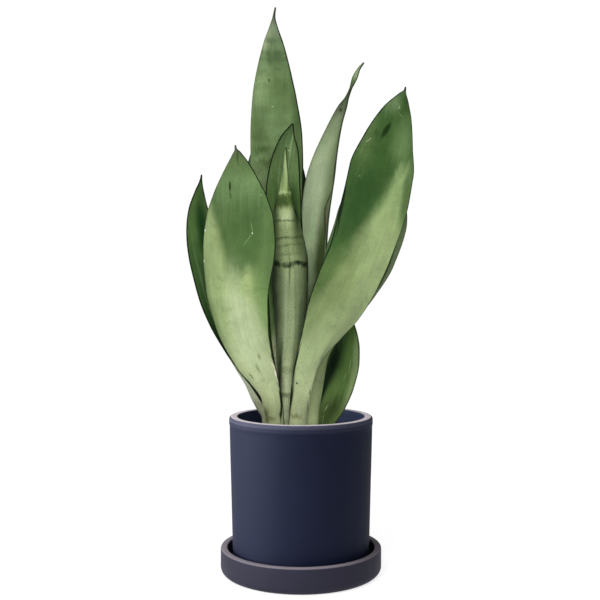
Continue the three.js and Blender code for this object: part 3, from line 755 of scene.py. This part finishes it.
front_right_skin = leaf_skin(
    "front right leaf skin", front_right_rows, 2,
    outer=[
        (92, (166, 176, 132)), (138, (178, 190, 144)), (158, (166, 180, 134)), (180, (152, 168, 122)),
        (205, (136, 152, 106)), (230, (138, 155, 107)), (254, (144, 163, 112)), (284, (148, 167, 114)),
        (314, (132, 156, 102)), (330, (100, 127, 78)), (342, (76, 105, 57)), (368, (76, 104, 58)),
        (382, (92, 112, 76)), (387, (118, 122, 110)), (391, (142, 134, 136)),
    ],
    inner=[(92, (168, 180, 138)), (190, (112, 138, 86)), (300, (66, 94, 50)), (391, (80, 104, 62))],
    outer_marks=[
        # Painted light: a pale patch lifts the foot where the leaves beside it shade it.
        mark(-7.5, 145, 5, 22, (194, 208, 158), 0.8),
        mark(8.1, 138, 1.5, 22, (22, 34, 10), 0.5),
        mark(9.8, 172, 1.0, 14, (24, 36, 12), 0.4, 6),
        mark(-16, 198, 5, 26, (114, 128, 90), 0.8, 0, 0.7),
        mark(19, 242, 14, 36, (80, 104, 56), 0.8, -10),
        mark(4, 236, 8, 20, (126, 144, 92), 0.9, 0, 0.8),
        mark(9, 222, 5, 26, (118, 135, 87), 0.9, -8),
        # The dark upper part ends here in a soft edge, leaving the pale wedge of painted reflection below
        # it.
        mark(38.5, 311, 42, 96, (57, 87, 41), 0.13, -20),
        mark(-16.5, 324, 3.6, 9, (142, 166, 110), 0.6, -24),
        mark(-12.9, 329, 3.4, 7, (140, 164, 108), 0.7, -15, 0.8),
        mark(14, 304, 9, 26, (42, 72, 31), 0.9, -10),
        mark(18, 344, 6, 18, (80, 106, 58), 0.8),
        mark(-10, 352, 8, 15, (98, 126, 76), 0.8),
        mark(5, 377, 5, 8, (94, 116, 76), 0.9),
        mark(-25, 312, 5.5, 24, (90, 116, 68), 0.5),
        fleck(5.5, 356, 1.9, 6.4, (24, 48, 14), -18),
        mark(11.5, 351, 2, 2.6, (56, 82, 40), 0.8),
        fleck(16.8, 346, 0.25, 2.6, (160, 174, 130), -44),
        fleck(20.2, 339.5, 0.25, 6, (104, 128, 80), -12, 0.8, soft=0.6),
        fleck(17.8, 319, 0.45, 0.45, (112, 140, 96)),
        fleck(0.3, 375, 0.55, 1.3, (124, 148, 104), soft=0.6),
        fleck(-2.5, 370, 0.3, 2.4, (100, 126, 78), 60, soft=0.6),
        fleck(5.0, 158, 0.7, 0.7, (40, 50, 28), soft=0.4),
        mark(-6.7, 149, 1.2, 2, (104, 114, 72), 0.8),
        mark(-5.8, 139, 1.4, 2.6, (70, 80, 42), 0.8, -10),
        # Painted light: another pale patch on the shaded foot.
        mark(-1, 128, 8, 9, (184, 196, 150), 0.9),
        mark(3, 130, 4, 2, (132, 136, 90), 0.9, 0, 0.8),
        mark(-9.5, 182, 2, 20, (120, 134, 94), 0.9),
        mark(26.4, 296, 1.0, 26, (14, 32, 12), 0.5, 4),
    ],
    rims=(0.9, 1.0),
)
front_right = grow_leaf("front_right_leaf", front_right_rows, 5.5, front_right_skin)
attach(front_right, "root")
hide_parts("leaf_front_right")

# The youngest leaf stands at the middle, still rolled up round itself like a scroll. It ends in a
# long pale spike, and dark cross bands ring it where its growth paused.
rolled_rows = [
    (92, -12.5, -5, 12, 90, 60), (125, -12, -5.5, 12, 90, 60), (150, -11, -7, 14, 90, 62),
    (170, -11, -8, 16.5, 90, 64), (188, -9.8, -9, 20.5, 90, 66), (211, -8.8, -10, 25, 90, 66),
    (240, -8.8, -10, 28.4, 90, 66), (258, -9.2, -10, 29.2, 90, 66), (270, -10.4, -9, 27.5, 90, 66),
    (286, -12.2, -8, 23.6, 90, 68), (304, -13.2, -7, 15.6, 90, 70), (314, -13.4, -6, 9.6, 90, 70),
    (328, -13.2, -5, 4.8, 90, 60), (351, -12.8, -4, 0.9, 90, 40),
]
rolled_skin = leaf_skin(
    "rolled leaf skin", rolled_rows, 3,
    # The lowest tones are painted very pale: painted light where the leaves round it shade the foot.
    outer=[
        (92, (218, 230, 182)), (136, (210, 226, 170)), (152, (160, 176, 126)), (164, (160, 174, 128)),
        (200, (162, 178, 134)), (240, (160, 176, 130)), (262, (160, 178, 126)), (284, (158, 175, 122)),
        (295, (182, 198, 150)), (301, (164, 181, 128)), (305, (68, 90, 42)), (311, (74, 96, 46)),
        (315, (146, 168, 106)), (332, (172, 194, 136)), (345, (152, 176, 118)), (351, (112, 136, 90)),
    ],
    inner=[(92, (130, 150, 100)), (200, (80, 106, 60)), (351, (96, 124, 72))],
    outer_marks=[
        # Painted shade darkens both sides of the roll where it turns away, with a dark line along one
        # edge.
        mark(9.5, 215, 3.5, 60, (118, 132, 94), 0.9),
        mark(-9, 212, 4, 60, (110, 126, 90), 0.9),
        mark(16.5, 225, 6, 90, (42, 56, 30), 0.6),
        mark(-16, 225, 5, 90, (92, 106, 72), 0.6),
        mark(-18.4, 238, 2.4, 62, (10, 22, 8), 0.3),
        # Painted shadow on the roll beside the front right leaf.
        mark(5.8, 160, 3.2, 26, (26, 38, 14), 0.8),
        # Painted light: a near white patch lifts the shaded foot.
        mark(0, 136, 4.5, 28, (232, 246, 198), 0.9),
        mark(-4.2, 313, 2.2, 8, (112, 136, 80), 0.8),
        fleck(11.5, 256, 3, 2.2, (12, 24, 8), soft=0.7),
        fleck(1.5, 253, 3.4, 1.5, (20, 34, 14), 6, 0.9, soft=0.7),
        fleck(-6.5, 256, 3.4, 1.5, (18, 32, 12), -5, 0.9, soft=0.7),
        fleck(-13, 254, 3, 2, (16, 28, 12), 10, 0.9, soft=0.7),
        mark(9, 296, 4, 26, (66, 86, 42), 0.9),
        mark(-9.5, 296, 4, 26, (56, 76, 36), 0.9),
        mark(1.9, 334, 1.3, 14, (102, 126, 76), 0.9),
        mark(-3.8, 317, 1.8, 12, (92, 118, 62), 0.7),
        fleck(-6.9, 308, 0.9, 6, (14, 26, 8), 0, 0.9),
        fleck(-9.8, 296, 1.1, 6.5, (14, 26, 8), 24, 0.9),
        fleck(9.4, 303, 1.1, 6.5, (14, 26, 8), -26, 0.9),
        mark(3, 200, 0.9, 50, (176, 192, 150), 0.9, 0, 0.7),
        mark(-4, 215, 0.8, 45, (124, 140, 100), 0.9, 0, 0.8),
        mark(0.4, 250, 0.5, 12, (66, 82, 46), 0.9, 0, 0.8),
    ],
    bands=[
        (314, 1.2, 1, (176, 196, 140), 0.8), (307.5, 2.6, 3, (62, 84, 38), 0.8),
        (290.5, 0.8, 1.5, (48, 66, 30), 0.7), (276.5, 1.0, 3, (60, 78, 38), 0.7),
        (270.5, 0.9, 3, (84, 102, 58), 0.6), (263, 1.0, 4, (96, 114, 70), 0.5),
        (255, 1.6, 7, (24, 38, 16), 0.8), (168, 3, 6, (88, 104, 62), 0.5),
        (147, 2.2, 5, (74, 90, 50), 0.65),
    ],
    banding=0.2, specks=0.4, rims=(1.0, 0.6),
)
rolled = grow_leaf("rolled_centre_leaf", rolled_rows, 4, rolled_skin)
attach(rolled, "root")
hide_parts("leaf_centre_rolled")

# The leaf behind the rolled one has just opened and still wraps it. It turns its hollow inner face
# to the front, deep green, with shallow lengthwise folds and pale lines up its channel that are painted
# highlights.
open_rows = [
    (92, -13, 4, 15, -90, 52), (124, -13.3, 5, 15, -90, 50), (164, -12.3, 8, 18, -90, 48),
    (194, -12.6, 10, 26, -90, 44), (234, -13, 12, 29.5, -90, 42), (276, -14.2, 12, 31, -90, 40),
    (318, -14.8, 10, 28.2, -90, 40), (337, -13.4, 8, 24.5, -90, 40), (349, -12, 6, 20, -90, 42),
    (359, -10.8, 5, 13, -90, 44), (368, -8.2, 4, 4.4, -90, 40), (372, -6.7, 4, 0.9, -90, 30),
]
open_skin = leaf_skin(
    "open centre leaf skin", open_rows, 4,
    outer=[(92, (150, 164, 120)), (180, (116, 136, 86)), (260, (84, 108, 60)), (372, (82, 106, 60))],
    inner=[
        # The lowest inner tones are painted very pale: painted light in the deep hollow of the foot.
        (92, (206, 218, 168)), (164, (210, 222, 164)), (186, (120, 150, 92)), (230, (106, 142, 82)),
        (262, (92, 124, 68)), (290, (84, 112, 62)), (334, (104, 130, 80)), (355, (92, 117, 72)),
        (368, (68, 92, 52)), (372, (50, 70, 40)),
    ],
    inner_marks=[
        # Painted highlights: thin pale lines up the channel.
        mark(3.2, 350, 0.9, 13, (128, 152, 108), 0.8, 2),
        mark(-4.4, 330, 0.8, 16, (120, 144, 98), 0.8),
        mark(6.5, 332, 0.8, 18, (112, 136, 90), 0.8),
        mark(-9, 316, 4, 14, (84, 112, 62), 0.9),
        mark(9, 305, 5, 18, (62, 92, 44), 0.9),
        fleck(1.9, 350, 0.4, 0.6, (180, 194, 150)),
        fleck(-10.6, 328, 0.4, 0.6, (140, 158, 112)),
        # Painted light: a near white patch in the shaded hollow.
        mark(-10.6, 174, 2.4, 22, (228, 240, 192), 0.6),
        fleck(-11.3, 184, 0.7, 4.5, (206, 200, 164), soft=0.4),
    ],
)
opened = grow_leaf("open_centre_leaf", open_rows, 4, open_skin, pleats=0.3)
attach(opened, "root")
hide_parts("leaf_centre_open")

# The tallest leaf stands upright behind the middle ones, its inner face to the front. It is a
# clear mid green, its right side painted darker than its left as painted shade, with faint uneven bars
# across its upper half.
tall_rows = [
    (92, -12.5, 15, 15, -84, 50), (123, -12.6, 17, 15, -84, 46), (174, -15, 21, 22, -84, 36),
    (225, -17.7, 25, 30.7, -84, 28), (284, -19.6, 29, 39.4, -84, 22), (346, -21, 33, 44.7, -84, 18),
    (366, -21.5, 35, 44, -84, 18), (399, -23.1, 37, 37.8, -84, 18), (416, -23.7, 38, 31.9, -84, 18),
    (447, -24, 39, 16.8, -84, 22), (464, -23.8, 40, 5.4, -84, 26), (471, -23.4, 40, 1.7, -84, 26),
    (479, -22.2, 40, 0.5, -84, 26),
]
tall_skin = leaf_skin(
    "tall leaf skin", tall_rows, 5,
    outer=[(92, (152, 168, 124)), (200, (122, 146, 96)), (350, (98, 124, 76)), (479, (92, 112, 74))],
    inner=[
        (92, (140, 156, 112)), (180, (124, 146, 98)), (300, (128, 152, 104)), (338, (122, 148, 100)),
        (380, (114, 140, 92)), (410, (106, 131, 82)), (432, (95, 119, 77)), (450, (104, 126, 88)),
        (462, (114, 128, 102)), (470, (98, 106, 88)), (479, (98, 90, 94)),
    ],
    inner_marks=[
        mark(-14, 413, 8, 20, (150, 172, 124), 0.9, 10, 0.6),
        mark(3.5, 437, 3.5, 3, (66, 88, 50), 0.9, 0, 0.6),
        mark(-3.5, 436, 2.2, 5, (60, 82, 46), 0.9, 0, 0.5),
        mark(9, 408, 8, 7, (86, 111, 64), 0.9, 0, 0.8),
        mark(-6.5, 452, 4, 11, (146, 162, 126), 0.9, 16),
        mark(-16, 324, 6, 12, (116, 132, 90), 0.9, 0, 0.8),
        mark(-19, 372, 5, 14, (92, 114, 70), 0.8, 0, 0.8),
        mark(-15, 370, 5, 9, (92, 115, 68), 0.8, 0, 0.8),
        mark(-13, 355, 7, 4, (80, 103, 57), 0.9, 0, 0.9),
        mark(-9, 341, 8, 4, (86, 106, 62), 0.9, 0, 0.8),
        # Painted shade darkens the right edge of the blade.
        mark(19, 370, 5, 60, (80, 102, 60), 0.8),
        mark(6, 395, 6, 12, (92, 117, 70), 0.9, 0, 0.7),
        fleck(-4.2, 415, 0.6, 1.6, (44, 66, 34), -12),
        fleck(-1.9, 392, 0.7, 0.35, (190, 206, 172), 12),
    ],
    bands=[
        (449.8, 2.2, 1, (80, 98, 66), 0.6), (438.8, 2.0, 2, (66, 88, 52), 0.45),
        (433.5, 1.8, 3, (66, 88, 52), 0.45), (410, 2.6, 2, (90, 114, 68), 0.3),
        (389, 3.0, 2, (92, 116, 70), 0.4), (379, 2.6, 3, (90, 113, 68), 0.3),
        (364, 3.0, 3, (82, 105, 60), 0.45), (350, 2.6, 3, (82, 105, 60), 0.35),
    ],
    banding=0.3, rims=(0.2, 1.0),
)
tall = grow_leaf("tall_back_leaf", tall_rows, 5, tall_skin)
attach(tall, "root")
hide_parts("leaf_back_tall")

# A broad dark leaf stands at the very back and leans away. From the front only its margins look
# past the leaves before it, as a dark line at the right and a pale green one at the left.
wide_rows = [
    (92, -15.5, 25, 16.2, -100, 46), (122, -16, 28, 18.2, -100, 40), (156, -18.6, 34, 29.4, -100, 32),
    (208, -21.7, 44, 45.8, -100, 26), (259, -23.6, 53, 56.8, -100, 22), (300, -22.9, 60, 60.6, -100, 20),
    (327, -22.7, 64, 56.6, -100, 20), (349, -23.3, 68, 47, -100, 20), (373, -24.2, 72, 32, -100, 22),
    (392, -25.4, 74, 13.5, -100, 24), (405, -26.2, 75, 0.9, -100, 24),
]
wide_skin = leaf_skin(
    "wide leaf skin", wide_rows, 6,
    outer=[(92, (156, 170, 128)), (200, (112, 138, 86)), (300, (78, 106, 58)), (405, (84, 108, 62))],
    inner=[(92, (130, 148, 106)), (200, (90, 118, 70)), (320, (104, 130, 84)), (405, (90, 114, 70))],
    outer_marks=[mark(8, 250, 12, 50, (130, 154, 102), 0.8, 10)],
    inner_marks=[mark(24, 320, 12, 60, (22, 46, 22), 0.5)],
)
wide = grow_leaf("wide_back_leaf", wide_rows, 5, wide_skin)
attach(wide, "root")
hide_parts("leaf_back_wide")

# The narrow leaf right of the middle is the palest, almost silver. Its right margin is rolled in,
# and it pinches to a dark neck below a small green tip that twists away.
curled_rows = [
    (92, -2, 6, 11, -112, 58), (124, -1, 7, 11.5, -114, 58), (175, 5.5, 11, 17.5, -118, 60),
    (234, 12, 15, 25, -122, 62), (284, 15.6, 20, 28, -124, 64), (310, 18.4, 23, 28.6, -124, 64),
    (327, 20.9, 26, 27.2, -124, 64), (342, 23.6, 29, 23.7, -124, 64), (361, 28, 33, 18.7, -124, 66),
    (379, 32.9, 36, 12.7, -124, 68), (392, 37.5, 38, 8, -124, 70), (401, 40.7, 39, 3, -124, 60),
    (408, 43.3, 40, 2, -124, 40), (418, 47.5, 42, 4.5, -124, 50), (426, 50.7, 43, 2.6, -124, 40),
    (432, 55, 44, 0.9, -124, 30),
]
curled_skin = leaf_skin(
    "curled leaf skin", curled_rows, 7,
    outer=[(92, (160, 174, 130)), (260, (150, 166, 126)), (360, (128, 142, 106)), (432, (120, 138, 98))],
    inner=[
        (92, (120, 136, 100)), (210, (130, 148, 110)), (250, (164, 183, 140)), (300, (180, 197, 159)),
        (334, (174, 190, 153)), (356, (150, 168, 129)), (378, (126, 142, 106)), (390, (98, 108, 84)),
        (400, (72, 84, 58)), (406, (56, 70, 42)), (413, (96, 116, 74)), (420, (140, 161, 118)),
        (432, (128, 146, 108)),
    ],
    inner_marks=[
        mark(-11, 264, 8, 40, (184, 205, 160), 0.8),
        # Painted shade darkens the right half where the fold turns away.
        mark(9, 324, 9.5, 52, (126, 142, 104), 0.6),
        mark(7.5, 257, 9.5, 42, (72, 88, 50), 0.55),
        mark(12.5, 288, 3.4, 20, (118, 116, 92), 0.5, -12),
        mark(14.6, 266, 2.6, 18, (148, 154, 132), 0.6),
        fleck(-2.0, 389, 1.4, 1.8, (52, 66, 36), soft=0.6),
        fleck(13.7, 331, 1.6, 14, (22, 28, 14), -10, 0.9, soft=0.4),
        fleck(10.6, 311, 1.2, 7.8, (22, 28, 14), 40, 0.9, soft=0.4),
        fleck(5.8, 302, 0.9, 3.6, (22, 28, 14), 8, 0.9, soft=0.4),
        fleck(8.5, 288, 1.1, 13.5, (22, 28, 14), -16, 0.9, soft=0.4),
    ],
    banding=0.15, rims=(0.35, 0.9),
)
curled = grow_leaf("curled_tip_leaf", curled_rows, 4, curled_skin)
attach(curled, "root")
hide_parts("leaf_curled_tip")

# The leaf at the far left starts as a pale gutter at the rim, bends out, and twists so that its
# dark inner face looks to the front from behind the broad leaf.
far_left_rows = [
    (92, -29, 1, 15, 8, 70), (127, -30.5, 0, 15.5, 6, 76), (136, -35.5, 0, 15.5, 4, 76),
    (145, -40, -1, 16, 0, 74), (157, -44.5, -2, 17.5, -12, 66), (172, -51.6, -4, 20, -28, 54),
    (189, -58.8, -6, 25, -42, 46), (209, -65.9, -8, 30, -50, 40), (230, -71.3, -9, 33, -56, 36),
    (252, -76.6, -10, 33, -60, 34), (274, -81.5, -11, 28.5, -62, 32), (298, -84.4, -11, 16.8, -64, 32),
    (313, -83.3, -10, 7.9, -64, 32), (324.5, -81.8, -9, 1.2, -64, 30), (328, -81.4, -9, 0.5, -64, 30),
]
far_left_skin = leaf_skin(
    "far left leaf skin", far_left_rows, 8,
    outer=[
        (92, (160, 166, 132)), (128, (176, 182, 146)), (152, (162, 170, 144)), (185, (120, 140, 96)),
        (240, (84, 108, 62)), (328, (78, 100, 58)),
    ],
    inner=[
        # The inner face is darkest from 150 to 185 mm, where painted shade from the broad leaf before it
        # falls on its dark green.
        (92, (60, 74, 42)), (150, (44, 66, 32)), (185, (36, 60, 26)), (215, (54, 84, 42)),
        (250, (70, 102, 54)), (280, (84, 117, 62)), (310, (88, 115, 62)), (322, (72, 94, 56)),
        (328, (64, 64, 56)),
    ],
    inner_marks=[
        mark(2.5, 284, 4.5, 34, (24, 58, 22), 0.9),
        mark(-9.5, 235, 1.2, 40, (96, 124, 78), 0.9),
    ],
    rims=(1.0, 0.8),
)
far_left = grow_leaf("far_left_leaf", far_left_rows, 4.5, far_left_skin)
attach(far_left, "root")
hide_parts("leaf_far_left")

# A broad pale leaf grows behind the front right one and leans the same way, so that only its
# margins and its foot show past it from the front.
behind_rows = [
    (92, 8, -6, 14, 108, 52), (127, 8.5, -8, 14.5, 108, 50), (156, 11.5, -10, 16, 108, 46),
    (178, 15, -12, 17, 108, 40), (197, 21.2, -14, 26, 108, 34), (214, 29, -17, 37.5, 108, 30),
    (238, 40, -20, 50.8, 108, 26), (264, 51.5, -21, 60.4, 108, 24), (288, 59.6, -20, 60.8, 108, 24),
    (314, 64.3, -17, 50.3, 108, 24), (342, 70.4, -13, 30.8, 108, 26), (360, 74.9, -11, 11.3, 108, 28),
    (368, 76.9, -10, 0.9, 108, 28),
]
behind_skin = leaf_skin(
    "behind right leaf skin", behind_rows, 9,
    outer=[
        (92, (170, 184, 136)), (128, (184, 200, 146)), (148, (150, 166, 118)), (172, (112, 126, 84)),
        (240, (94, 110, 76)), (300, (88, 106, 70)), (368, (88, 106, 68)),
    ],
    inner=[(92, (130, 146, 104)), (200, (106, 132, 82)), (300, (76, 104, 58)), (368, (84, 108, 64))],
    outer_marks=[
        mark(27, 284, 9, 34, (92, 122, 70), 0.6),
        mark(-25.2, 262, 1.0, 19, (26, 42, 12), 0.4),
    ],
    inner_marks=[mark(-8, 270, 12, 44, (128, 152, 100), 0.8, -8)],
    rims=(0.7, 0.2),
)
behind = grow_leaf("behind_right_leaf", behind_rows, 4.5, behind_skin)
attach(behind, "root")
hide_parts("leaf_behind_right")

# The shortest leaf sits low on the right, dark and scratched, its hollow face to the front, with
# a lighter green stripe along its outer margin. A painted shadow of the leaves before it darkens its left
# side.
short_rows = [
    (92, 17, 4, 14.7, -112, 52), (112, 18, 4, 15.7, -112, 50), (124, 20.9, 6, 19.5, -112, 46),
    (137, 26.1, 9, 26.8, -112, 40), (154, 31.2, 13, 32.6, -112, 34), (169, 33.6, 17, 35.4, -112, 30),
    (182, 34.8, 21, 33.8, -112, 28), (195, 36.1, 25, 27.6, -112, 28), (208, 37.7, 28, 15.9, -112, 30),
    (219, 39.9, 31, 0.9, -112, 30),
]
short_skin = leaf_skin(
    "short right leaf skin", short_rows, 10,
    outer=[(92, (140, 154, 112)), (140, (104, 126, 78)), (219, (74, 98, 54))],
    inner=[
        (92, (98, 116, 70)), (126, (94, 116, 64)), (150, (102, 131, 70)), (175, (92, 122, 64)),
        (198, (80, 108, 54)), (219, (84, 108, 60)),
    ],
    inner_marks=[
        mark(16, 156, 4.5, 42, (136, 158, 106), 0.6),
        # Painted shadow of the leaves in front, darkest at the left of the hollow.
        mark(-4.5, 176, 7, 26, (26, 50, 20), 0.8, 13),
        mark(-8.5, 166, 4, 18, (2, 12, 4), 0.8, 13),
        mark(-10.4, 150, 2.2, 18, (12, 34, 14), 0.8, 4),
        mark(3, 134, 5, 13, (66, 86, 40), 0.8, 10),
        fleck(9.5, 169, 0.3, 5, (166, 186, 136), 6, 0.8, soft=0.6),
        fleck(5.8, 160, 0.3, 3, (150, 172, 122), 14, 0.7, soft=0.6),
        fleck(-3.5, 133, 0.35, 3.2, (176, 194, 144), 14, 0.9, soft=0.6),
        fleck(-2.7, 125, 0.3, 4.5, (156, 174, 124), -10, 0.8, soft=0.6),
    ],
    rims=(0.9, 0.8),
)
short = grow_leaf("short_right_leaf", short_rows, 4.5, short_skin)
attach(short, "root")
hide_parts("leaf_short_right")

# The plant stands on a white table in a light tent, with a large soft lamp at the upper left and a
# fill lamp at the front. Two low lamps at the left put the sheen on the pot and on the saucer, and
# a small one overhead picks out their rims.
TABLE_REACH = 0.7
TENT_LIGHT = 0.32
TABLE_GLOW = 0.64
SURROUND_SEEN = 1.02
LEAVES_MIDDLE = (0, 0, 0.22)
CAMERA_PLACE = (-0.0008, -0.770, 0.236)
CAMERA_DOWN = 0.8
CAMERA_LENS = 55.68


def lamp(name, place, aim, width, height, power, colour=(1, 1, 1)):
    """A soft lamp of a width and height in metres that looks from one place to another."""
    light = bpy.data.lights.new(name, "AREA")
    light.shape = "RECTANGLE"
    light.size = width
    light.size_y = height
    light.energy = power
    light.color = colour
    holder = bpy.data.objects.new(name, light)
    holder.location = place
    holder.rotation_euler = (Vector(aim) - Vector(place)).to_track_quat("-Z", "Y").to_euler()
    bpy.context.scene.collection.objects.link(holder)
    return holder


white, tree, surface, place = new_material("white table top")
surface["Base Color"].default_value = (0.9, 0.9, 0.9, 1)
surface["Emission Color"].default_value = (1, 1, 1, 1)
surface["Emission Strength"].default_value = TABLE_GLOW
surface["Roughness"].default_value = 0.9
surface["Specular IOR Level"].default_value = 0.1
bm = bmesh.new()
bmesh.ops.create_circle(bm, cap_ends=True, segments=96, radius=TABLE_REACH)
bmesh.ops.translate(bm, verts=bm.verts[:], vec=(0, 0, -0.05 * MM))
table = finish(bm, "table", white)
table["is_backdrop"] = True

world = bpy.data.worlds.new("light tent")
world.use_nodes = True
tree = world.node_tree
seen = add(tree, "LightPath").outputs["Is Camera Ray"]
brightness = maths(tree, "ADD", TENT_LIGHT, maths(tree, "MULTIPLY", seen, SURROUND_SEEN - TENT_LIGHT))
tree.nodes["Background"].inputs["Color"].default_value = (1, 1, 1, 1)
feed(tree, tree.nodes["Background"].inputs["Strength"], brightness)
bpy.context.scene.world = world
bpy.context.scene.view_settings.view_transform = "Standard"

lamp("key lamp", (-0.7, -1.1, 1.2), LEAVES_MIDDLE, 0.9, 0.9, 10, (1, 0.99, 0.97))
fill = lamp("fill lamp", (0.2, -1.5, 0.6), LEAVES_MIDDLE, 0.8, 0.8, 10)
fill.visible_glossy = False
sheen = lamp("pot lamp", (-0.87, -0.22, 0.12), (0, 0, 0.07), 0.9, 0.6, 27)
gleam = lamp("saucer lamp", (-0.8, -0.35, 0.12), (0, 0, 0.02), 0.9, 0.6, 13)
crown = lamp("crown lamp", (-0.45, -0.15, 1.0), (0, 0, 0.12), 0.3, 0.3, 11)
for light, pieces in ((sheen, [pot]), (gleam, [saucer]), (crown, [pot, saucer])):
    lit = bpy.data.collections.new(light.name + " reach")
    for piece in pieces:
        lit.objects.link(piece)
    light.light_linking.receiver_collection = lit
crown.light_linking.blocker_collection = crown.light_linking.receiver_collection

camera = bpy.data.objects.new("camera", bpy.data.cameras.new("camera"))
camera.location = CAMERA_PLACE
camera.rotation_euler = (math.radians(90 - CAMERA_DOWN), 0, 0)
camera.data.lens = CAMERA_LENS
camera.data.clip_start = 0.01
bpy.context.scene.collection.objects.link(camera)
bpy.context.scene.camera = camera

low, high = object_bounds()
